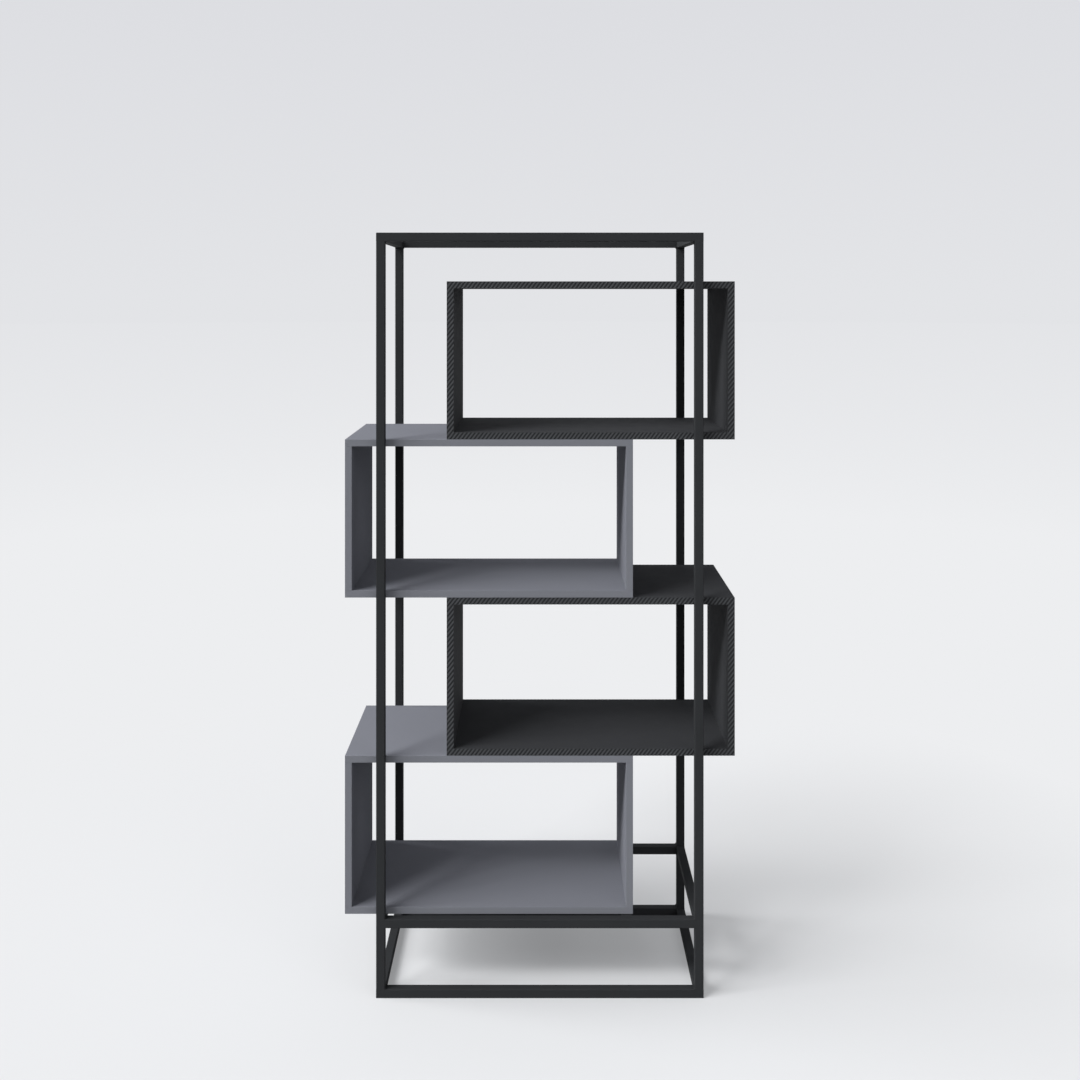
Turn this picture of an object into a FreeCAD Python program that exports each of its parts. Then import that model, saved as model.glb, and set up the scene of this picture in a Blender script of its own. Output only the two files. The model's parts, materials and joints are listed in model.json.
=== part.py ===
# Zigzag bookshelf: a welded square-tube frame that carries a stack of four open boxes,
# set to the left and to the right in turn. Millimetres, +Z up, the front faces -Y,
# and the origin is on the floor under the middle of the frame.
import FreeCAD, Part
import os
import Sketcher

# Driving dimensions
SIZES = {
    # Frame of square tube
    "frame_width": 750,
    "frame_depth": 370,
    "tube_side": 20,
    "tube_wall": 1.5,
    "tube_corner": 1.5,
    "mid_ring_height": 160,       # floor to the underside of the middle ring
    "top_gap": 91.5,              # top box to the underside of the top ring
    "cross_rail_inset": 5,        # end of the lowest box to the rail under it
    # Boxes of coated board
    "box_width": 665,
    "box_height": 365,
    "box_clearance": 2,           # front posts to the front of the boxes
    "box_overhang": 75,           # end of a box beyond the side of the frame
    "board_thickness": 16,
    "band_thickness": 1,
    "band_joint": 0.1,            # between two edge bands that meet at a corner
    # Glued tongues in the corners of the boxes
    "tongue_thickness": 4,
    "tongue_width": 18,
    "tongue_inset": 25,           # front or rear of a box to the end of a tongue
    "tongue_cover": 6,            # board left under a groove
    "tongue_end_gap": 0.5,
    "glue_gap": 0.1,
    # Screws that join the boxes to each other and to the rear posts
    "stack_screw_shank": 4,
    "stack_screw_head": 8,
    "stack_screw_share": 0.8,     # share of half the width where two boxes overlap
    "post_screw_shank": 4.5,
    "post_screw_head": 9,
    "post_screw_grip": 30,        # screw length in the edge of a board
    "screw_cover": 2,             # board left over the end of a screw
    "screw_clearance": 0.15,
    # Pads between the lowest box and the rails
    "pad_thickness": 1.5,
    "pad_inset": 10,              # front or rear of the lowest box to the end of a pad
    # Reach of a cutting outline beyond the piece that it cuts
    "cut_overrun": 5,
}
COUNTERSINK_HALF_ANGLE = 45
# Two places nearer than this are one
SAME_PLACE = 1e-6

# The boxes from the floor up, and the side of the frame that each one stands out from
BOXES = [
    ("lower_grey", "left"),
    ("lower_black", "right"),
    ("upper_grey", "left"),
    ("upper_black", "right"),
]

# Lengths and places that follow from the driving dimensions
TUBE = "sizes.tube_side"
HALF_TUBE = "(sizes.tube_side / 2)"
HALF_WIDTH = "(sizes.frame_width / 2)"
HALF_DEPTH = "(sizes.frame_depth / 2)"
STACK_BOTTOM = "(sizes.mid_ring_height + sizes.tube_side + sizes.pad_thickness)"
TOP_RING_BOTTOM = f"({STACK_BOTTOM} + {len(BOXES)} * sizes.box_height + sizes.top_gap)"
POST_LENGTH = f"({TOP_RING_BOTTOM} - sizes.tube_side)"
BOARD = "sizes.board_thickness"
BAND = "sizes.band_thickness"
BOX_DEPTH = "(sizes.frame_depth - 2 * sizes.tube_side - sizes.box_clearance)"
BOX_FRONT = f"({HALF_DEPTH} - sizes.tube_side - {BOX_DEPTH})"
CEILING = "(sizes.box_height - sizes.board_thickness)"
SIDE_HEIGHT = "(sizes.box_height - 2 * sizes.board_thickness)"
BOX_LEFT = {
    "left": f"(-{HALF_WIDTH} - sizes.box_overhang)",
    "right": f"({HALF_WIDTH} + sizes.box_overhang - sizes.box_width)",
}
# The middles of a box's side panels, measured from the left end of the box
SIDE_COLUMNS = {
    "left": "(sizes.board_thickness / 2)",
    "right": "(sizes.box_width - sizes.board_thickness / 2)",
}
# The middle of the post that crosses a box, measured from the left end of the box
POST_PLACE = {
    "left": f"(sizes.box_overhang + {HALF_TUBE})",
    "right": f"(sizes.box_width - sizes.box_overhang - {HALF_TUBE})",
}
CROSS_RAIL_PLACE = f"(sizes.box_width - sizes.cross_rail_inset - {HALF_TUBE})"
GROOVE_FACE_DEPTH = "(sizes.board_thickness - sizes.tongue_cover)"
GROOVE_EDGE_DEPTH = f"(sizes.tongue_width + 2 * sizes.tongue_end_gap - {GROOVE_FACE_DEPTH})"
STACK_SCREW_HOLE = "(sizes.stack_screw_shank + 2 * sizes.screw_clearance)"
STACK_SCREW_SEAT = "(sizes.stack_screw_head + 2 * sizes.screw_clearance)"
STACK_SCREW_LENGTH = "(2 * sizes.board_thickness - sizes.screw_cover)"
STACK_SCREW_DEPTH = "(sizes.board_thickness - sizes.screw_cover + sizes.screw_clearance)"
STACK_SCREW_REACH = f"(sizes.stack_screw_share * (sizes.box_width - {HALF_WIDTH} - sizes.box_overhang))"
POST_SCREW_HOLE = "(sizes.post_screw_shank + 2 * sizes.screw_clearance)"
POST_SCREW_SEAT = "(sizes.post_screw_head + 2 * sizes.screw_clearance)"
POST_SCREW_LENGTH = f"({TUBE} + sizes.post_screw_grip)"
POST_SCREW_DEPTH = "(sizes.post_screw_grip + sizes.screw_clearance)"

doc = FreeCAD.newDocument("zigzag_bookshelf")
sheet = doc.addObject("Spreadsheet::Sheet", "sizes")
for row, (alias, number) in enumerate(SIZES.items(), start=1):
    sheet.set(f"A{row}", alias)
    sheet.set(f"B{row}", str(number))
    sheet.setAlias(f"B{row}", alias)
doc.recompute()

sub_parts = []


# Sketches whose points and sizes follow the sheet
def value(expression):
    return float(sheet.evalExpression(expression))


def pin(sketch, kind, elements, expression):
    number = sketch.addConstraint(Sketcher.Constraint(kind, *elements, value(expression)))
    sketch.setExpression(f"Constraints[{number}]", expression)


def pin_point(sketch, geometry, point, x, y):
    root, root_point = -1, 1
    pin(sketch, "DistanceX", (root, root_point, geometry, point), x)
    pin(sketch, "DistanceY", (root, root_point, geometry, point), y)


def new_sketch(body, name, role, height="0"):
    """An empty sketch on one of the body's own planes, at a height along the plane's normal."""
    sketch = body.newObject("Sketcher::SketchObject", f"{body.Label}_{name}")
    plane = next(feature for feature in body.Origin.OriginFeatures if feature.Role == role)
    sketch.AttachmentSupport = (plane, [""])
    sketch.MapMode = "FlatFace"
    sketch.setExpression("AttachmentOffset.Base.z", height)
    return sketch


def add_outline(sketch, corners):
    points = [FreeCAD.Vector(value(x), value(y), 0) for x, y in corners]
    ends = points[1:] + points[:1]
    lines = [sketch.addGeometry(Part.LineSegment(start, end), False) for start, end in zip(points, ends)]
    for line, following in zip(lines, lines[1:] + lines[:1]):
        sketch.addConstraint(Sketcher.Constraint("Coincident", line, 2, following, 1))
    for line, (x, y) in zip(lines, corners):
        pin_point(sketch, line, 1, x, y)


def add_rectangle(sketch, left, low, right, high):
    add_outline(sketch, [(left, low), (right, low), (right, high), (left, high)])


def add_circles(sketch, centres, diameter):
    for x, y in centres:
        centre = FreeCAD.Vector(value(x), value(y), 0)
        circle = Part.Circle(centre, FreeCAD.Vector(0, 0, 1), value(diameter) / 2)
        geometry = sketch.addGeometry(circle, False)
        pin_point(sketch, geometry, 3, x, y)
        pin(sketch, "Diameter", (geometry,), diameter)


# Bodies and their features
def new_body(label, x, y, z, rotation=FreeCAD.Rotation(), several_solids=False):
    body = doc.addObject("PartDesign::Body", label)
    body.Label = label
    body.AllowCompound = several_solids
    body.Placement = FreeCAD.Placement(FreeCAD.Vector(), rotation)
    for axis, expression in zip("xyz", (x, y, z)):
        body.setExpression(f"Placement.Base.{axis}", expression)
    sub_parts.append(body)
    return body


def add_pad(body, sketch, length, taper=0):
    pad = body.newObject("PartDesign::Pad", f"{sketch.Label}_pad")
    pad.Profile = sketch
    pad.TaperAngle = taper
    pad.setExpression("Length", length)
    doc.recompute()
    return pad


def add_pocket(body, sketch, depth=None, backwards=False, taper=0):
    """A cut of a given depth or, with none given, right through the body."""
    volume = body.Shape.Volume
    pocket = body.newObject("PartDesign::Pocket", f"{sketch.Label}_pocket")
    pocket.Profile = sketch
    pocket.Reversed = backwards
    pocket.TaperAngle = taper
    if depth is None:
        pocket.Type = "ThroughAll"
    else:
        pocket.setExpression("Length", depth)
    doc.recompute()
    if not body.Shape.Volume < volume:
        raise RuntimeError(f"{pocket.Label} cuts nothing")


def drill(body, name, role, height, backwards, centres, diameter, depth=None):
    holes = new_sketch(body, name, role, height)
    add_circles(holes, centres, diameter)
    add_pocket(body, holes, depth, backwards)


def drill_and_sink(body, name, role, height, backwards, centres, diameter, seat):
    """Holes right through, sunk where they start for screw heads that lie flush."""
    drill(body, f"{name}_holes", role, height, backwards, centres, diameter)
    cones = new_sketch(body, f"{name}_seats", role, height)
    add_circles(cones, centres, seat)
    add_pocket(body, cones, f"({seat} - {diameter}) / 2", backwards, -COUNTERSINK_HALF_ANGLE)


# Frame: square tubes, each along its own local Z, with its lower outer corner on that axis
def make_tube(label, length, x, y, z, rotation=FreeCAD.Rotation()):
    body = new_body(label, x, y, z, rotation)
    section = new_sketch(body, "section", "XY_Plane")
    inner_side = f"({TUBE} - sizes.tube_wall)"
    add_rectangle(section, "0", "0", TUBE, TUBE)
    add_rectangle(section, "sizes.tube_wall", "sizes.tube_wall", inner_side, inner_side)
    pad = add_pad(body, section, length)
    round_tube(body, pad)
    return body


def round_tube(body, pad):
    """Rounds the four long outer edges of a tube."""
    reach = value(HALF_TUBE)
    names = []
    for number, edge in enumerate(pad.Shape.Edges, start=1):
        start, end = [vertex.Point for vertex in edge.Vertexes]
        along = abs(start.x - end.x) < SAME_PLACE and abs(start.y - end.y) < SAME_PLACE
        outside = all(abs(abs(place - reach) - reach) < SAME_PLACE for place in (start.x, start.y))
        if along and outside:
            names.append(f"Edge{number}")
    fillet = body.newObject("PartDesign::Fillet", f"{body.Label}_corners")
    fillet.Base = (pad, names)
    fillet.setExpression("Radius", "sizes.tube_corner")
    doc.recompute()


def mitre_ends(body, length):
    """Cuts both ends of a rail at 45 degrees, so that its inner face is the shorter one."""
    over = "sizes.cut_overrun"
    inner = f"({TUBE} + {over})"
    corners = new_sketch(body, "mitres", "XZ_Plane")
    add_outline(corners, [(f"-{over}", f"-{over}"), (inner, f"-{over}"), (inner, inner)])
    add_outline(corners, [
        (f"-{over}", f"{length} + {over}"),
        (inner, f"{length} - {inner}"),
        (inner, f"{length} + {over}"),
    ])
    add_pocket(body, corners)


# A rail's local X points into the ring, its local Y up and its local Z along the rail
ALONG_X = FreeCAD.Rotation(FreeCAD.Vector(1, 1, 1), 120)
UPRIGHT = FreeCAD.Vector(0, 0, 1)
RING_SIDES = ["front", "right", "rear", "left"]
RING_CORNERS = [
    (f"-{HALF_WIDTH}", f"-{HALF_DEPTH}"),
    (HALF_WIDTH, f"-{HALF_DEPTH}"),
    (HALF_WIDTH, HALF_DEPTH),
    (f"-{HALF_WIDTH}", HALF_DEPTH),
]
RING_STEPS = [(1, 0), (0, 1), (-1, 0), (0, -1)]
RING_LENGTHS = ["sizes.frame_width", "sizes.frame_depth"] * 2


def rail_rotation(turn):
    return FreeCAD.Rotation(UPRIGHT, 90 * turn) * ALONG_X


def make_mitred_ring(name, z):
    for turn, side in enumerate(RING_SIDES):
        x, y = RING_CORNERS[turn]
        rail = make_tube(f"{name}_{side}_rail", RING_LENGTHS[turn], x, y, z, rail_rotation(turn))
        mitre_ends(rail, RING_LENGTHS[turn])


def make_middle_ring():
    """Rails that butt between the posts, and one more across them under the lowest box."""
    for turn, side in enumerate(RING_SIDES):
        corner_x, corner_y = RING_CORNERS[turn]
        step_x, step_y = RING_STEPS[turn]
        make_tube(f"mid_{side}_rail", f"{RING_LENGTHS[turn]} - 2 * {TUBE}",
                  f"{corner_x} + {step_x} * {TUBE}", f"{corner_y} + {step_y} * {TUBE}",
                  "sizes.mid_ring_height", rail_rotation(turn))
    make_tube("mid_cross_rail", f"sizes.frame_depth - 2 * {TUBE}",
              f"{BOX_LEFT['left']} + {CROSS_RAIL_PLACE} - {HALF_TUBE}", f"{HALF_DEPTH} - {TUBE}",
              "sizes.mid_ring_height", rail_rotation(RING_SIDES.index("left")))


def post_screw_heights(side):
    """Heights above the floor of the screws through the rear post on one side, one for each box."""
    levels = [level for level, (_, box_side) in enumerate(BOXES) if box_side == side]
    return [f"({STACK_BOTTOM} + {level} * sizes.box_height + {BOARD} / 2)" for level in levels]


def make_posts():
    half_turn = FreeCAD.Rotation(UPRIGHT, 180)
    for side, left_edge in (("left", f"-{HALF_WIDTH}"), ("right", f"{HALF_WIDTH} - {TUBE}")):
        make_tube(f"front_{side}_post", POST_LENGTH, left_edge, f"-{HALF_DEPTH}", TUBE)
        rear_post = make_tube(f"rear_{side}_post", POST_LENGTH,
                              f"{left_edge} + {TUBE}", HALF_DEPTH, TUBE, half_turn)
        centres = [(HALF_TUBE, f"{height} - {TUBE}") for height in post_screw_heights(side)]
        drill_and_sink(rear_post, "screw", "XZ_Plane", "0", False, centres, POST_SCREW_HOLE, POST_SCREW_SEAT)


# Boxes: every piece of a box is drawn from the box's lower front left corner
def box_corner(level, side):
    return BOX_LEFT[side], BOX_FRONT, f"{STACK_BOTTOM} + {level} * sizes.box_height"


def stack_screw_places(middle):
    """Places of the screws between two boxes, to the left and right of the frame's middle."""
    return [(f"{middle} {sign} {STACK_SCREW_REACH}", f"{BOX_DEPTH} / 2") for sign in "-+"]


def add_tongue_outline(sketch, column, slack="0"):
    """Outline of the tongue, or with slack of its groove, that stands in the middle of a side panel."""
    half = f"(sizes.tongue_thickness / 2 + {slack})"
    inset = f"(sizes.tongue_inset - {slack})"
    add_rectangle(sketch, f"{column} - {half}", inset, f"{column} + {half}", f"{BOX_DEPTH} - {inset}")


def cut_grooves(body, name, height, backwards, columns, depth):
    grooves = new_sketch(body, name, "XY_Plane", height)
    for column in columns:
        add_tongue_outline(grooves, column, "sizes.glue_gap")
    add_pocket(body, grooves, depth, backwards)


def drill_rear_edge(body, side, height):
    """Hole for the screw that comes through the rear post."""
    drill(body, "post_screw_hole", "XZ_Plane", f"-{BOX_DEPTH}", True,
          [(POST_PLACE[side], height)], POST_SCREW_HOLE, POST_SCREW_DEPTH)


def make_flat_panel(label, level, side, z):
    panel = new_body(label, *box_corner(level, side))
    outline = new_sketch(panel, "outline", "XY_Plane", z)
    add_rectangle(outline, BAND, BAND, f"sizes.box_width - {BAND}", f"{BOX_DEPTH} - {BAND}")
    add_pad(panel, outline, BOARD)
    return panel


def make_flat_bands(label, level, side, z):
    """Bands on the four edges of a top or bottom panel."""
    bands = new_body(label, *box_corner(level, side), several_solids=True)
    strips = new_sketch(bands, "strips", "XY_Plane", z)
    start = f"({BAND} + sizes.band_joint)"
    add_rectangle(strips, "0", "0", "sizes.box_width", BAND)
    add_rectangle(strips, "0", f"{BOX_DEPTH} - {BAND}", "sizes.box_width", BOX_DEPTH)
    add_rectangle(strips, "0", start, BAND, f"{BOX_DEPTH} - {start}")
    add_rectangle(strips, f"sizes.box_width - {BAND}", start, "sizes.box_width", f"{BOX_DEPTH} - {start}")
    add_pad(bands, strips, BOARD)
    return bands


def make_side_panel(label, level, side, left):
    panel = new_body(label, *box_corner(level, side))
    outline = new_sketch(panel, "outline", "XY_Plane", BOARD)
    add_rectangle(outline, left, BAND, f"{left} + {BOARD}", f"{BOX_DEPTH} - {BAND}")
    add_pad(panel, outline, SIDE_HEIGHT)
    return panel


def make_side_bands(label, level, side, left):
    """Bands on the front and rear edges of a side panel."""
    bands = new_body(label, *box_corner(level, side), several_solids=True)
    strips = new_sketch(bands, "strips", "XY_Plane", BOARD)
    add_rectangle(strips, left, "0", f"{left} + {BOARD}", BAND)
    add_rectangle(strips, left, f"{BOX_DEPTH} - {BAND}", f"{left} + {BOARD}", BOX_DEPTH)
    add_pad(bands, strips, SIDE_HEIGHT)


def make_tongues(label, level, side):
    """Tongues that join the side panels to the bottom and top panels."""
    tongues = new_body(label, *box_corner(level, side), several_solids=True)
    sunk = f"({GROOVE_FACE_DEPTH} - sizes.tongue_end_gap)"
    for row, height in (
        ("bottom", f"{BOARD} - {sunk}"),
        ("top", f"{CEILING} + {sunk} - sizes.tongue_width"),
    ):
        outlines = new_sketch(tongues, row, "XY_Plane", height)
        for column in SIDE_COLUMNS.values():
            add_tongue_outline(outlines, column)
        add_pad(tongues, outlines, "sizes.tongue_width")


def make_box(name, side, level):
    frame_middle = f"-{BOX_LEFT[side]}"
    columns = SIDE_COLUMNS.values()

    bottom = make_flat_panel(f"{name}_bottom_panel", level, side, "0")
    bottom_bands = make_flat_bands(f"{name}_bottom_edge_bands", level, side, "0")
    cut_grooves(bottom, "grooves", BOARD, False, columns, GROOVE_FACE_DEPTH)
    for body in (bottom, bottom_bands):
        drill_rear_edge(body, side, f"{BOARD} / 2")
    if level > 0:
        drill(bottom, "stack_screw_holes", "XY_Plane", "0", True,
              stack_screw_places(frame_middle), STACK_SCREW_HOLE, STACK_SCREW_DEPTH)

    top = make_flat_panel(f"{name}_top_panel", level, side, CEILING)
    make_flat_bands(f"{name}_top_edge_bands", level, side, CEILING)
    cut_grooves(top, "grooves", CEILING, True, columns, GROOVE_FACE_DEPTH)
    if level < len(BOXES) - 1:
        drill_and_sink(top, "stack_screw", "XY_Plane", CEILING, True,
                       stack_screw_places(frame_middle), STACK_SCREW_HOLE, STACK_SCREW_SEAT)

    for panel_side, column in SIDE_COLUMNS.items():
        left = f"({column} - {BOARD} / 2)"
        panel = make_side_panel(f"{name}_{panel_side}_panel", level, side, left)
        cut_grooves(panel, "bottom_groove", BOARD, True, [column], GROOVE_EDGE_DEPTH)
        cut_grooves(panel, "top_groove", CEILING, False, [column], GROOVE_EDGE_DEPTH)
        make_side_bands(f"{name}_{panel_side}_edge_bands", level, side, left)
    make_tongues(f"{name}_tongues", level, side)


# Screws and pads: identical ones share a body as separate solids
def add_screws(body, role, heights, centres, shank, head, length):
    """Screws with sunk heads that start at the given heights along the plane's normal."""
    for number, height in enumerate(heights):
        heads = new_sketch(body, f"heads_{number}", role, height)
        add_circles(heads, centres, head)
        add_pad(body, heads, f"({head} - {shank}) / 2", -COUNTERSINK_HALF_ANGLE)
        shanks = new_sketch(body, f"shanks_{number}", role, height)
        add_circles(shanks, centres, shank)
        add_pad(body, shanks, length)


def make_stack_screws():
    heights = [f"{level} * sizes.box_height" for level in range(len(BOXES) - 1)]
    screws = new_body("stack_screws", "0", BOX_FRONT, f"{STACK_BOTTOM} + {CEILING}", several_solids=True)
    add_screws(screws, "XY_Plane", heights, stack_screw_places("0"),
               "sizes.stack_screw_shank", "sizes.stack_screw_head", STACK_SCREW_LENGTH)


def make_post_screws():
    centres = [(f"{HALF_TUBE} - {HALF_WIDTH}", height) for height in post_screw_heights("left")]
    centres += [(f"{HALF_WIDTH} - {HALF_TUBE}", height) for height in post_screw_heights("right")]
    screws = new_body("post_screws", "0", HALF_DEPTH, "0", several_solids=True)
    add_screws(screws, "XZ_Plane", ["0"], centres,
               "sizes.post_screw_shank", "sizes.post_screw_head", POST_SCREW_LENGTH)


def make_rail_pads():
    """Strips on the flat tops of the two rails that carry the lowest box."""
    pads = new_body("rail_pads", *box_corner(0, "left"), several_solids=True)
    strips = new_sketch(pads, "strips", "XY_Plane", "-sizes.pad_thickness")
    half = f"({HALF_TUBE} - sizes.tube_corner)"
    for column in (POST_PLACE["left"], CROSS_RAIL_PLACE):
        add_rectangle(strips, f"{column} - {half}", "sizes.pad_inset",
                      f"{column} + {half}", f"{BOX_DEPTH} - sizes.pad_inset")
    add_pad(pads, strips, "sizes.pad_thickness")


make_mitred_ring("base", "0")
make_middle_ring()
make_mitred_ring("top", TOP_RING_BOTTOM)
make_posts()
for box_level, (box_name, box_side) in enumerate(BOXES):
    make_box(box_name, box_side, box_level)
make_stack_screws()
make_post_screws()
make_rail_pads()

doc.recompute()
for item in doc.Objects:
    if "Invalid" in item.State or "Error" in item.State:
        raise RuntimeError(f"{item.Label} failed: {item.State}")
for body in sub_parts:
    if body.Shape.isNull() or not body.Shape.isValid():
        raise RuntimeError(f"{body.Label} has no valid shape")

os.makedirs("parts", exist_ok=True)
for body in sub_parts:
    body.Shape.exportStep(os.path.join("parts", f"{body.Label}.step"))
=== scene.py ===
# Looks of the zigzag bookshelf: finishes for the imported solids, detailed edge bands, screws and welds,
# a pale studio floor and a camera at the photograph's viewing angle. Metres, +Z up, the front faces -Y.
import json
import math

import bmesh
import bpy
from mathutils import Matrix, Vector


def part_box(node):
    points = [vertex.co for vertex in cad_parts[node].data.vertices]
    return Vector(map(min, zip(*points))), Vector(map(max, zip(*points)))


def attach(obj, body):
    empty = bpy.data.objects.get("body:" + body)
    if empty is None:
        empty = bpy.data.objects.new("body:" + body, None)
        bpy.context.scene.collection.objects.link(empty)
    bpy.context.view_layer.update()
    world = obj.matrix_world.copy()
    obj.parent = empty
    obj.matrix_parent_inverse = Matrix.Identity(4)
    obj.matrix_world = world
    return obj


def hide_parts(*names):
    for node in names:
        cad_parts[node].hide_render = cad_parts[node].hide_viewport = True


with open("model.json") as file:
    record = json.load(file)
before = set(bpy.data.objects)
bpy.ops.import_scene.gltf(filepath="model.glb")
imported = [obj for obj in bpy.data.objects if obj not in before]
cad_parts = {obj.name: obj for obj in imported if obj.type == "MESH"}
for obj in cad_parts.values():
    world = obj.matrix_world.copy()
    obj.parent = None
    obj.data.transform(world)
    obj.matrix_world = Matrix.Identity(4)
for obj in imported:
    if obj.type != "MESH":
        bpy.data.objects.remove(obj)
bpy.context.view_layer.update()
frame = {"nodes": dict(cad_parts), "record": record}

MM = 0.001
X, Y, Z = Vector((1, 0, 0)), Vector((0, 1, 0)), Vector((0, 0, 1))
BOXES = ["lower_grey", "lower_black", "upper_grey", "upper_black"]
PANELS = ["bottom", "top", "left", "right"]
SAME_PLACE = 0.001 * MM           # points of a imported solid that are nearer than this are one

# Edge bands: eased edges, and on the black boxes slanting ribs on the front and rear
BAND_EASE = 0.5 * MM
BAND_EASE_STEPS = 3
RIB_PITCH = 9.23 * MM             # from rib to rib along a level edge
RIB_SLANT = math.radians(52)      # from level, rising to the right as seen from the front
RIB_SPACING = RIB_PITCH * math.sin(RIB_SLANT)    # from rib to rib, square to the ribs
RIB_RELIEF = 0.8 * MM
RIB_STEPS = 6                     # facets across one rib
RIB_FINISH = 1                    # place of the ribs' finish among the finishes of a black edging
CORNER_DIGITS = 4                 # decimals of a millimetre that tell the corners of facets apart

# Screws
SCREW_SIDES = 24
SCREW_SHANK_SHARE = 0.5           # of the head's diameter
SCREW_TIP_SHARE = 0.2             # of the shank's diameter
SCREW_DOME = 0.15 * MM            # from the mouth of the drive recess down to the head's rim
SHOULDER_SHARE = 0.9              # of the head's diameter, where the dome turns steeper
SHOULDER_DROP = SCREW_DOME / 3
SOCKET_SIDES = 6
SOCKET_SHARE = 0.5                # width across the drive recess, of the head's diameter
SOCKET_DEPTH_SHARE = 0.18         # of the head's diameter
SOCKET_FLOOR_SHARE = 0.9          # of the recess's width
SOCKET_MOUTH_SHARE = 1.08         # of the recess's width

# Welds of the frame, ground flush on the outer faces
TUBE_CORNER = 1.5 * MM
BEAD_LEG = 2.2 * MM
BEAD_BULGE = 0.25                 # of the leg
BEAD_END_POWER = 0.25             # the smaller, the nearer to its ends the bead keeps its bulge
BEAD_RIPPLE = 0.12                # of the leg
BEAD_RIPPLE_PITCH = 1.8 * MM
BEAD_LEAST_RIPPLES = 2
BEAD_STEPS_PER_RIPPLE = 4
BEAD_ARC_STEPS = 4

# Camera, from the photograph's perspective
CAMERA_PLACE = (0, -2.830, 1.6081)
SENSOR_WIDTH = 36.0
LENS = 38.52
SHIFT_X = 0.00015
SHIFT_Y = -0.2261

# Materials
NOISE_LOW, NOISE_HIGH = 0.3, 0.7  # most of a noise texture lies between these


def add_node(tree, kind, inputs=None, **settings):
    """A shader node with its inputs linked to sockets or set to values."""
    node = tree.nodes.new(kind)
    for name, value in settings.items():
        setattr(node, name, value)
    for name, value in (inputs or {}).items():
        if isinstance(value, bpy.types.NodeSocket):
            tree.links.new(value, node.inputs[name])
        else:
            node.inputs[name].default_value = value
    return node


def start_material(name, specular):
    """A new material with its node tree and its main shader."""
    material = bpy.data.materials.new(name)
    material.use_nodes = True
    shader = material.node_tree.nodes["Principled BSDF"]
    shader.inputs["Specular IOR Level"].default_value = specular
    return material, material.node_tree, shader


def noise(tree, scale, detail=2.0, stretch=(1, 1, 1)):
    """Noise over the object's own metres."""
    place = add_node(tree, "ShaderNodeTexCoord").outputs["Object"]
    mapping = add_node(tree, "ShaderNodeMapping", {"Vector": place, "Scale": stretch})
    texture = add_node(tree, "ShaderNodeTexNoise",
                       {"Vector": mapping.outputs["Vector"], "Scale": scale, "Detail": detail})
    return texture.outputs["Fac"]


def spread(tree, value, low, high, start=NOISE_LOW, end=NOISE_HIGH):
    """Maps a value between start and end to the range from low to high."""
    return add_node(tree, "ShaderNodeMapRange", {
        "Value": value, "From Min": start, "From Max": end, "To Min": low, "To Max": high,
    }).outputs["Result"]


def blend_colours(tree, factor, dark, light):
    """The first colour where the factor is 0, and the second where it is 1."""
    mix = add_node(tree, "ShaderNodeMix", {"Factor": factor}, data_type="RGBA")
    for socket, colour in zip([item for item in mix.inputs if item.type == "RGBA"], (dark, light)):
        socket.default_value = (*colour, 1)
    return next(item for item in mix.outputs if item.type == "RGBA")


def dress(tree, shader, colour, roughness, height, strength, distance):
    """Links a colour, a roughness and a bump height to the shader."""
    bump = add_node(tree, "ShaderNodeBump",
                    {"Height": height, "Strength": strength, "Distance": distance})
    tree.links.new(colour, shader.inputs["Base Color"])
    tree.links.new(roughness, shader.inputs["Roughness"])
    tree.links.new(bump.outputs["Normal"], shader.inputs["Normal"])


def powder_coat(name, dark, light):
    """Matt coat with a fine pebbled texture."""
    material, tree, shader = start_material(name, specular=0.02)
    pebbles = noise(tree, scale=750, detail=3)
    clouds = noise(tree, scale=12)
    colour = blend_colours(tree, clouds, dark, light)
    roughness = spread(tree, pebbles, low=0.56, high=0.70)
    dress(tree, shader, colour, roughness, height=pebbles, strength=0.3, distance=0.25 * MM)
    return material


def coated_board(name, dark, light, specular):
    """Matt foil on board: faint clouds, a very fine tooth and a slightly uneven sheen."""
    material, tree, shader = start_material(name, specular)
    clouds = noise(tree, scale=7, detail=3)
    tooth = noise(tree, scale=1600)
    colour = blend_colours(tree, clouds, dark, light)
    roughness = spread(tree, noise(tree, scale=30), low=0.80, high=0.88)
    dress(tree, shader, colour, roughness, height=tooth, strength=0.12, distance=0.12 * MM)
    return material


def ribbed_band(name, valley, crest):
    """Graphite band with painted light on the crests of its ribs and painted shade in the valleys
    between them.
    """
    material, tree, shader = start_material(name, specular=0.03)
    place = add_node(tree, "ShaderNodeTexCoord").outputs["Object"]
    across = math.sin(RIB_SLANT), 0, -math.cos(RIB_SLANT)
    along = add_node(tree, "ShaderNodeVectorMath", {0: place, 1: across}, operation="DOT_PRODUCT")
    turns = math.tau / RIB_SPACING
    angle = add_node(tree, "ShaderNodeMath", {0: along.outputs["Value"], 1: turns}, operation="MULTIPLY")
    wave = add_node(tree, "ShaderNodeMath", {0: angle.outputs["Value"]}, operation="COSINE")
    tooth = noise(tree, scale=1600)
    rise = spread(tree, wave.outputs["Value"], low=0, high=1, start=-1, end=1)
    # painted shade in the rib valleys and painted light on the crests, following the ribs' wave
    colour = blend_colours(tree, rise, valley, crest)
    roughness = spread(tree, tooth, low=0.80, high=0.88)
    dress(tree, shader, colour, roughness, height=tooth, strength=0.12, distance=0.12 * MM)
    return material


def plywood(name, dark, light):
    """Pale veneer with grain along the tongues."""
    material, tree, shader = start_material(name, specular=0.3)
    grain = noise(tree, scale=400, detail=4, stretch=(1, 0.05, 1))
    colour = blend_colours(tree, grain, dark, light)
    roughness = spread(tree, grain, low=0.55, high=0.7)
    dress(tree, shader, colour, roughness, height=grain, strength=0.2, distance=0.2 * MM)
    return material


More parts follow.
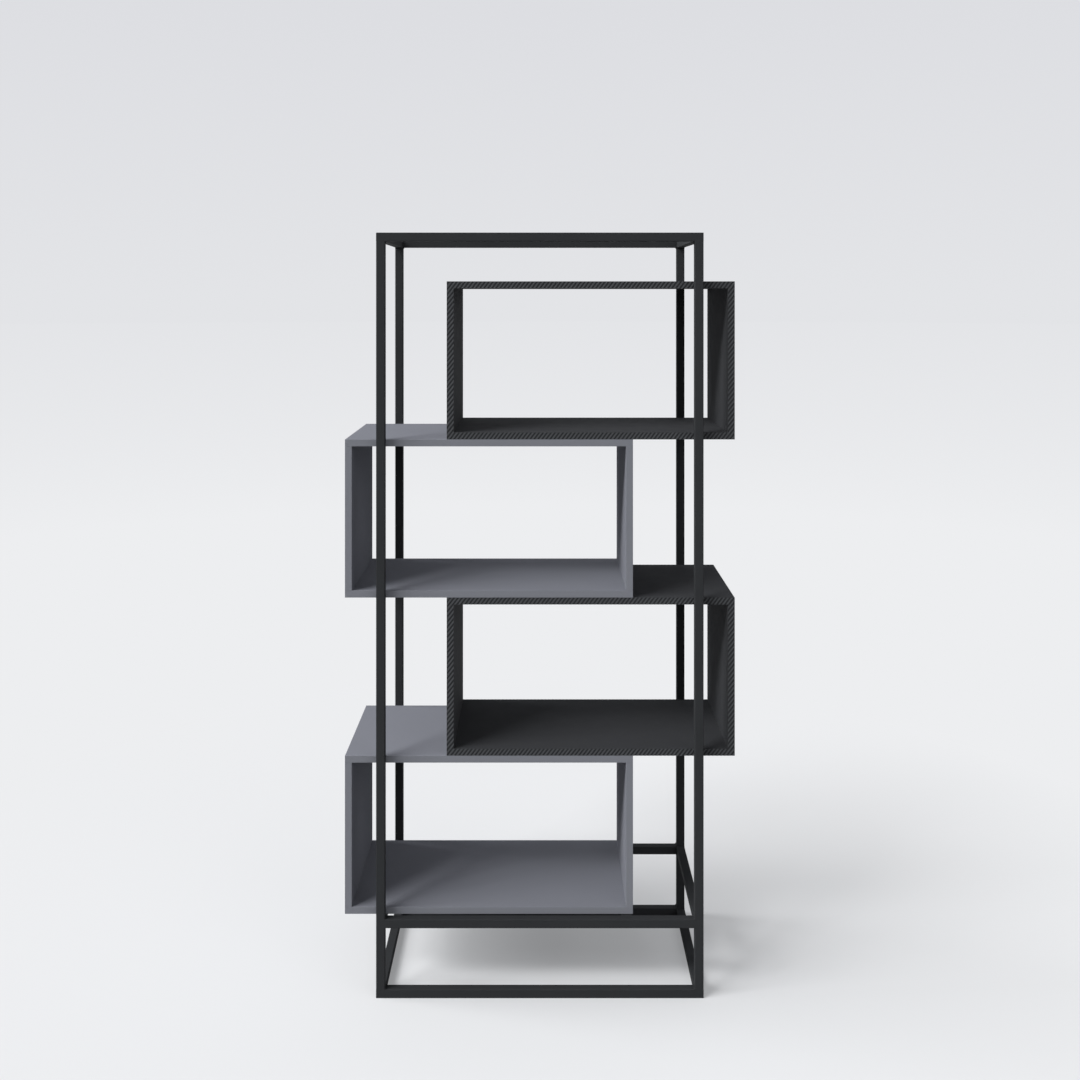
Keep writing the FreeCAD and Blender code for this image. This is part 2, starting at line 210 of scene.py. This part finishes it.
def felt(name, dark, light):
    """Pressed wool: short tangled fibres."""
    material, tree, shader = start_material(name, specular=0.1)
    fibres = noise(tree, scale=1800, detail=5, stretch=(1, 0.4, 1))
    colour = blend_colours(tree, fibres, dark, light)
    roughness = spread(tree, fibres, low=0.85, high=0.98)
    dress(tree, shader, colour, roughness, height=fibres, strength=0.6, distance=0.5 * MM)
    return material


def plated_steel(name, dark, light):
    """Black zinc plating over turned steel."""
    material, tree, shader = start_material(name, specular=0.5)
    shader.inputs["Metallic"].default_value = 1.0
    film = noise(tree, scale=500, detail=3)
    colour = blend_colours(tree, film, dark, light)
    roughness = spread(tree, film, low=0.32, high=0.45)
    dress(tree, shader, colour, roughness, height=film, strength=0.1, distance=0.05 * MM)
    return material


GREY_GLOSS, BLACK_GLOSS = 0.01, 0.040
BLACK_DARK, BLACK_LIGHT = (0.0350, 0.0363, 0.0392), (0.0379, 0.0392, 0.0425)
FINISHES = {
    "frame_coat": powder_coat("frame_coat", (0.0268, 0.0282, 0.0299), (0.0310, 0.0326, 0.0348)),
    "grey_board": coated_board("grey_board", (0.167, 0.173, 0.197), (0.176, 0.182, 0.208), GREY_GLOSS),
    "grey_band": coated_board("grey_band", (0.169, 0.176, 0.197), (0.178, 0.185, 0.208), GREY_GLOSS),
    "black_board": coated_board("black_board", BLACK_DARK, BLACK_LIGHT, BLACK_GLOSS),
    "black_band": coated_board("black_band", BLACK_DARK, BLACK_LIGHT, BLACK_GLOSS),
    # black_rib: the darker colour is painted shade for the rib valleys, the lighter one painted light
    # for the crests
    "black_rib": ribbed_band("black_rib", (0.0186, 0.0195, 0.0209), (0.066, 0.069, 0.0735)),
    "tongue_wood": plywood("tongue_wood", (0.50, 0.35, 0.20), (0.62, 0.46, 0.29)),
    "pad_felt": felt("pad_felt", (0.018, 0.018, 0.019), (0.040, 0.040, 0.042)),
    "screw_steel": plated_steel("screw_steel", (0.10, 0.10, 0.105), (0.16, 0.16, 0.17)),
}


def finish_solids():
    """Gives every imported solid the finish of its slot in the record."""
    for subpart in frame["record"]["subparts"]:
        solid = frame["nodes"][subpart["node"]]
        solid.data.materials.clear()
        solid.data.materials.append(FINISHES[subpart["material_slot"]])


# Pieces
def add_piece(name, mesh, finishes, replaced=()):
    """Makes an object of a mesh that rides with the bookshelf."""
    bmesh.ops.recalc_face_normals(mesh, faces=mesh.faces)
    data = bpy.data.meshes.new(name)
    mesh.to_mesh(data)
    mesh.free()
    for finish in finishes:
        data.materials.append(FINISHES[finish])
    piece = bpy.data.objects.new(name, data)
    bpy.context.scene.collection.objects.link(piece)
    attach(piece, "root")
    if replaced:
        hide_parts(*replaced)


def add_loft(mesh, rings):
    """Joins rings of equally many points with quads and caps both ends. Returns the quads."""
    rows = [[mesh.verts.new(point) for point in ring] for ring in rings]
    quads = []
    for row, following in zip(rows, rows[1:]):
        for corners in zip(row, row[1:] + row[:1], following[1:] + following[:1], following):
            quads.append(mesh.faces.new(corners))
    mesh.faces.new(rows[0])
    mesh.faces.new(rows[-1])
    return quads


def add_eased_strip(mesh, low, high, outward):
    """A strip whose outer edges are eased."""
    made = bmesh.ops.create_cube(mesh, size=1)
    middle, size = (low + high) / 2, high - low
    for vertex in made["verts"]:
        vertex.co = middle + Vector(a * b for a, b in zip(vertex.co, size))
    outer = max(vertex.co.dot(outward) for vertex in made["verts"])
    on_face = {vertex for vertex in made["verts"] if outer - vertex.co.dot(outward) < BAND_EASE / 2}
    edges = [edge for edge in mesh.edges if set(edge.verts) <= on_face]
    bmesh.ops.bevel(mesh, geom=edges, offset=BAND_EASE, segments=BAND_EASE_STEPS,
                    profile=0.5, affect="EDGES")


def clip_polygon(points, limit, keep_below):
    """The part of a flat polygon on one side of a limit of its points' first number."""
    sign = 1 if keep_below else -1
    kept = []
    for start, end in zip(points, points[1:] + points[:1]):
        start_over, end_over = sign * (start[0] - limit), sign * (end[0] - limit)
        if start_over <= 0:
            kept.append(start)
        if start_over * end_over < 0:
            share = start_over / (start_over - end_over)
            kept.append(tuple(a + share * (b - a) for a, b in zip(start, end)))
    return kept


def rib_height(x, z):
    """Height of the ribbed face at a place, from 0 in a valley to the full relief on a crest."""
    across = x * math.sin(RIB_SLANT) - z * math.cos(RIB_SLANT)
    return RIB_RELIEF * (0.5 + 0.5 * math.cos(math.tau * across / RIB_SPACING))


def add_ribbed_strip(mesh, low, high, outward):
    """A strip whose outer face has slanting ribs that run out at its edges."""
    step = RIB_PITCH / RIB_STEPS
    lean = 1 / math.tan(RIB_SLANT)
    first = math.floor((low.x - high.z * lean) / step)
    last = math.ceil((high.x - low.z * lean) / step)
    face_y, back_y = (low.y, high.y) if outward.y < 0 else (high.y, low.y)
    corners = {}

    def corner(x, z):
        """The mesh's point at a place on the ribbed face, made at its first use."""
        key = round(x / MM, CORNER_DIGITS), round(z / MM, CORNER_DIGITS)
        if key not in corners:
            depth = RIB_RELIEF - rib_height(x, z)
            corners[key] = mesh.verts.new((x, face_y - outward.y * depth, z))
        return corners[key]

    faces = []
    for number in range(first, last):
        left, right = number * step, (number + 1) * step
        outline = [(left + low.z * lean, low.z), (right + low.z * lean, low.z),
                   (right + high.z * lean, high.z), (left + high.z * lean, high.z)]
        outline = clip_polygon(outline, low.x, keep_below=False)
        outline = clip_polygon(outline, high.x, keep_below=True)
        points = list(dict.fromkeys(corner(x, z) for x, z in outline))
        if len(points) > 2:
            faces.append(mesh.faces.new(points))
    edges = dict.fromkeys(edge for face in faces for edge in face.edges)
    border = [edge for edge in edges if edge.is_boundary]
    for edge in border:
        edge.smooth = False
    skirt = bmesh.ops.extrude_edge_only(mesh, edges=border)["geom"]
    for vertex in (item for item in skirt if isinstance(item, bmesh.types.BMVert)):
        vertex.co.y = back_y
    back = [item for item in skirt if isinstance(item, bmesh.types.BMEdge) and item.is_boundary]
    bmesh.ops.contextual_create(mesh, geom=back)
    for face in faces:
        face.smooth = True
        face.material_index = RIB_FINISH


def strip_places(node, panel_node):
    """The strips of one panel: lowest corner, highest corner and outward direction of each."""
    low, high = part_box(node)
    panel_low, panel_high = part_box(panel_node)
    front, rear = panel_low.y, panel_high.y
    strips = [(low, Vector((high.x, front, high.z)), -Y), (Vector((low.x, rear, low.z)), high, Y)]
    if low.x < panel_low.x:
        strips += [
            (Vector((low.x, front, low.z)), Vector((panel_low.x, rear, high.z)), -X),
            (Vector((panel_high.x, front, low.z)), Vector((high.x, rear, high.z)), X),
        ]
    return strips


def add_edge_bands():
    """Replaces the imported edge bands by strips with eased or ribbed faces."""
    for box in BOXES:
        black = box.endswith("black")
        slot = "black_band" if black else "grey_band"
        finishes = [slot, "black_rib"] if black else [slot]
        for panel in PANELS:
            node = f"{box}_{panel}_edge_bands"
            mesh = bmesh.new()
            for low, high, outward in strip_places(node, f"{box}_{panel}_panel"):
                if black and outward.y:
                    add_ribbed_strip(mesh, low, high, outward)
                else:
                    add_eased_strip(mesh, low, high, outward)
            add_piece(f"{box}_{panel}_edging", mesh, finishes, [node])


def solid_boxes(node):
    """Lowest and highest corner of each separate solid of a node."""
    mesh = bmesh.new()
    mesh.from_mesh(frame["nodes"][node].data)
    bmesh.ops.remove_doubles(mesh, verts=mesh.verts, dist=SAME_PLACE)
    waiting = set(mesh.verts)
    boxes = []
    while waiting:
        group, to_visit = set(), [waiting.pop()]
        while to_visit:
            vertex = to_visit.pop()
            group.add(vertex)
            near = {edge.other_vert(vertex) for edge in vertex.link_edges} & waiting
            waiting -= near
            to_visit.extend(near)
        places = [vertex.co for vertex in group]
        boxes.append((Vector(map(min, *places)), Vector(map(max, *places))))
    mesh.free()
    return sorted(boxes, key=lambda box: tuple(box[0]))


def add_screw(mesh, head, inward, across, radius, length):
    """A sunk screw with a slightly domed face and a six-sided drive recess."""
    side = inward.cross(across)

    def ring(reach, depth, sides=None):
        """Points round the screw's axis, on a circle or on a shape with a few flat sides."""
        points = []
        for number in range(SCREW_SIDES):
            turn = math.tau * number / SCREW_SIDES
            size = reach
            if sides:
                size *= math.cos(math.pi / sides) / math.cos(turn % (math.tau / sides) - math.pi / sides)
            direction = across * math.cos(turn) + side * math.sin(turn)
            points.append(head + inward * depth + direction * size)
        return points

    shank = radius * SCREW_SHANK_SHARE
    socket = radius * SOCKET_SHARE / math.cos(math.pi / SOCKET_SIDES)
    socket_depth = 2 * radius * SOCKET_DEPTH_SHARE
    add_loft(mesh, [
        ring(socket * SOCKET_FLOOR_SHARE, socket_depth, SOCKET_SIDES),
        ring(socket, SCREW_DOME, SOCKET_SIDES),
        ring(socket * SOCKET_MOUTH_SHARE, 0, SOCKET_SIDES),
        ring(radius * SHOULDER_SHARE, SHOULDER_DROP),
        ring(radius, SCREW_DOME),
        ring(shank, radius - shank),
        ring(shank, length - shank),
        ring(shank * SCREW_TIP_SHARE, length),
    ])


def add_screws():
    """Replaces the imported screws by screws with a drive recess."""
    for node, inward in (("stack_screws", Z), ("post_screws", -Y)):
        mesh = bmesh.new()
        for low, high in solid_boxes(node):
            middle = (low + high) / 2
            length = abs((high - low).dot(inward))
            head = middle - inward * length / 2
            add_screw(mesh, head, inward, X, (high.x - low.x) / 2, length)
        add_piece(f"{node}_detailed", mesh, ["screw_steel"], [node])


def add_bead(mesh, start, end, one, two):
    """A weld bead along an inner corner, with legs on the two faces that meet there."""
    length = (end - start).length
    steps = max(BEAD_LEAST_RIPPLES, round(length / BEAD_RIPPLE_PITCH)) * BEAD_STEPS_PER_RIPPLE
    rings = []
    for step in range(steps + 1):
        share = step / steps
        ripple = 1 + BEAD_RIPPLE * math.cos(math.tau * step / BEAD_STEPS_PER_RIPPLE)
        swell = BEAD_BULGE * math.sin(math.pi * share) ** BEAD_END_POWER
        corner = start.lerp(end, share)
        ring = [corner]
        for number in range(BEAD_ARC_STEPS + 1):
            part = number / BEAD_ARC_STEPS
            bulge = 1 + swell * math.sin(math.pi * part)
            ring.append(corner + (one * (1 - part) + two * part) * BEAD_LEG * bulge * ripple)
        rings.append(ring)
    for face in add_loft(mesh, rings):
        face.smooth = True


def add_flush_fill(mesh, start, end, along_face, inward):
    """Weld that fills the groove beside a rounded tube corner, ground flush with the outer face."""
    add_loft(mesh, [
        [place, place + along_face * TUBE_CORNER, place + inward * TUBE_CORNER]
        for place in (start, end)
    ])


def weld_tube_end(mesh, low, high, axis, at_low_end, fills, beads):
    """Welds one end of a tube: flush fills on some of its faces and beads on the others."""
    end = low if at_low_end else high
    out = -axis if at_low_end else axis
    centre, size = (low + high) / 2, high - low

    def seam(normal):
        """Both ends of the line in which one face of the tube meets its neighbour."""
        across = axis.cross(normal)
        place = centre + axis * (end - centre).dot(axis) + normal * abs(size.dot(normal)) / 2
        reach = across * abs(size.dot(across)) / 2
        return place - reach, place + reach

    for normal in fills:
        add_flush_fill(mesh, *seam(normal), out, -normal)
    for normal in beads:
        add_bead(mesh, *seam(normal), normal, -out)


def add_welds():
    """Welds at the ends of the posts, of the middle rails and of the cross rail."""
    mesh = bmesh.new()
    for depth_name, depth in (("front", -Y), ("rear", Y)):
        for side_name, side in (("left", -X), ("right", X)):
            low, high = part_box(f"{depth_name}_{side_name}_post")
            for at_low_end in (True, False):
                weld_tube_end(mesh, low, high, Z, at_low_end, [depth, side], [-depth, -side])
    for name, axis, flush in (("front", X, Y), ("rear", X, Y), ("left", Y, X), ("right", Y, X)):
        low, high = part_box(f"mid_{name}_rail")
        for at_low_end in (True, False):
            weld_tube_end(mesh, low, high, axis, at_low_end, [flush, -flush], [Z, -Z])
    low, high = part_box("mid_cross_rail")
    for at_low_end in (True, False):
        weld_tube_end(mesh, low, high, Y, at_low_end, [Z, -Z], [X, -X])
    add_piece("frame_welds", mesh, ["frame_coat"])


# Studio
FLOOR_RADIUS = 70.0
FLOOR_SIDES = 96
FLOOR_SHADED = (0.476, 0.481, 0.490)     # the near floor's share that takes light and shadow
FLOOR_GLOW = (0.180, 0.183, 0.187)       # its share that is the same everywhere
FLOOR_OPEN = (0.847, 0.855, 0.871)       # the plain floor round it
FLOOR_FAR = (0.768, 0.776, 0.799)        # the plain floor in the distance
FLOOR_BOUNCE = (0.25, 0.25, 0.25)        # what the floor throws back at the object
SHADING_START, SHADING_END = 0.25, 2.0   # metres from the middle between which the shading fades
HAZE_REACH = 6.0                         # metres from the middle to where the far colour sets in
SKY_COLOUR = (0.723, 0.730, 0.761)
SKY_HEIGHT = 0.24                        # sine of the angle at which the sky has its own colour
AMBIENT_COLOUR = (0.98, 0.99, 1.02)
AMBIENT_STRENGTH = 0.375

# Lamps: degrees left of the front, degrees above level, degrees of spread, strength
LAMPS = {
    "left_1": (45, 43, 11, 0.96),
    "left_2": (56, 39, 11, 0.88),
    "left_3": (66, 34, 11, 0.92),
    "left_4": (76, 25, 11, 1.26),
    "left_5": (97, 38, 18, 1.38),
    "right": (-45, 28, 34, 0.36),
    "front": (0, 12, 34, 0.28),
}


def seen_directly(tree):
    """1 for the camera's rays, also by a reflection or through glass, and 0 for the light's own."""
    path = add_node(tree, "ShaderNodeLightPath")
    shown = path.outputs["Is Camera Ray"]
    for name in ("Is Glossy Ray", "Is Transmission Ray"):
        either = add_node(tree, "ShaderNodeMath", {0: shown, 1: path.outputs[name]}, operation="MAXIMUM")
        shown = either.outputs["Value"]
    return shown


def floor_material():
    """A pale floor that shows the object's shadow nearby and melts into the sky far away."""
    material = bpy.data.materials.new("studio_floor")
    material.use_nodes = True
    tree = material.node_tree
    tree.nodes.remove(tree.nodes["Principled BSDF"])
    place = add_node(tree, "ShaderNodeTexCoord").outputs["Object"]
    reach = add_node(tree, "ShaderNodeVectorMath", {0: place}, operation="LENGTH").outputs["Value"]
    away = spread(tree, reach, low=0, high=1, start=SHADING_START, end=SHADING_END)
    nearness = add_node(tree, "ShaderNodeMath", {0: HAZE_REACH, 1: reach},
                        operation="DIVIDE", use_clamp=True)
    plain = blend_colours(tree, nearness.outputs["Value"], FLOOR_FAR, FLOOR_OPEN)
    shaded = add_node(tree, "ShaderNodeBsdfDiffuse", {"Color": (*FLOOR_SHADED, 1)})
    glow = add_node(tree, "ShaderNodeEmission", {"Color": (*FLOOR_GLOW, 1)})
    near = add_node(tree, "ShaderNodeAddShader", {0: shaded.outputs[0], 1: glow.outputs[0]})
    far = add_node(tree, "ShaderNodeEmission", {"Color": plain})
    seen = add_node(tree, "ShaderNodeMixShader", {0: away, 1: near.outputs[0], 2: far.outputs[0]})
    bounce = add_node(tree, "ShaderNodeBsdfDiffuse", {"Color": (*FLOOR_BOUNCE, 1)})
    mix = add_node(tree, "ShaderNodeMixShader",
                   {0: seen_directly(tree), 1: bounce.outputs[0], 2: seen.outputs[0]})
    tree.links.new(mix.outputs["Shader"], tree.nodes["Material Output"].inputs["Surface"])
    return material


def add_floor():
    mesh = bmesh.new()
    bmesh.ops.create_circle(mesh, cap_ends=True, radius=FLOOR_RADIUS, segments=FLOOR_SIDES)
    data = bpy.data.meshes.new("floor")
    mesh.to_mesh(data)
    mesh.free()
    data.materials.append(floor_material())
    floor = bpy.data.objects.new("floor", data)
    bpy.context.scene.collection.objects.link(floor)


def light_world():
    """A little even light all round, and a pale sky that only the camera and reflections see."""
    world = bpy.data.worlds.new("studio")
    bpy.context.scene.world = world
    world.use_nodes = True
    tree = world.node_tree
    ambient = tree.nodes["Background"]
    ambient.inputs["Color"].default_value = (*AMBIENT_COLOUR, 1)
    ambient.inputs["Strength"].default_value = AMBIENT_STRENGTH
    direction = add_node(tree, "ShaderNodeTexCoord").outputs["Generated"]
    height = add_node(tree, "ShaderNodeSeparateXYZ", {0: direction}).outputs["Z"]
    rise = spread(tree, height, low=0, high=1, start=0, end=SKY_HEIGHT)
    seen = add_node(tree, "ShaderNodeBackground",
                    {"Color": blend_colours(tree, rise, FLOOR_FAR, SKY_COLOUR), "Strength": 1.0})
    mix = add_node(tree, "ShaderNodeMixShader", {
        0: seen_directly(tree), 1: ambient.outputs["Background"], 2: seen.outputs["Background"],
    })
    tree.links.new(mix.outputs["Shader"], tree.nodes["World Output"].inputs["Surface"])


def add_lamps():
    for name, (azimuth, elevation, width, strength) in LAMPS.items():
        lamp = bpy.data.lights.new(name, "SUN")
        lamp.energy = strength
        lamp.angle = math.radians(width)
        light = bpy.data.objects.new(name, lamp)
        turn, rise = math.radians(azimuth), math.radians(elevation)
        level = math.cos(rise)
        towards = Vector((-level * math.sin(turn), -level * math.cos(turn), math.sin(rise)))
        light.rotation_euler = towards.to_track_quat("Z", "Y").to_euler()
        bpy.context.scene.collection.objects.link(light)


def add_camera():
    """A level camera that looks along +Y, with its view shifted to the photograph's framing."""
    lens = bpy.data.cameras.new("camera")
    lens.sensor_width = SENSOR_WIDTH
    lens.lens = LENS
    lens.shift_x, lens.shift_y = SHIFT_X, SHIFT_Y
    camera = bpy.data.objects.new("camera", lens)
    camera.location = CAMERA_PLACE
    camera.rotation_euler = (math.pi / 2, 0, 0)
    bpy.context.scene.collection.objects.link(camera)
    bpy.context.scene.camera = camera


finish_solids()
add_edge_bands()
add_screws()
add_welds()
add_floor()
light_world()
add_lamps()
add_camera()
bpy.context.scene.view_settings.view_transform = "Standard"
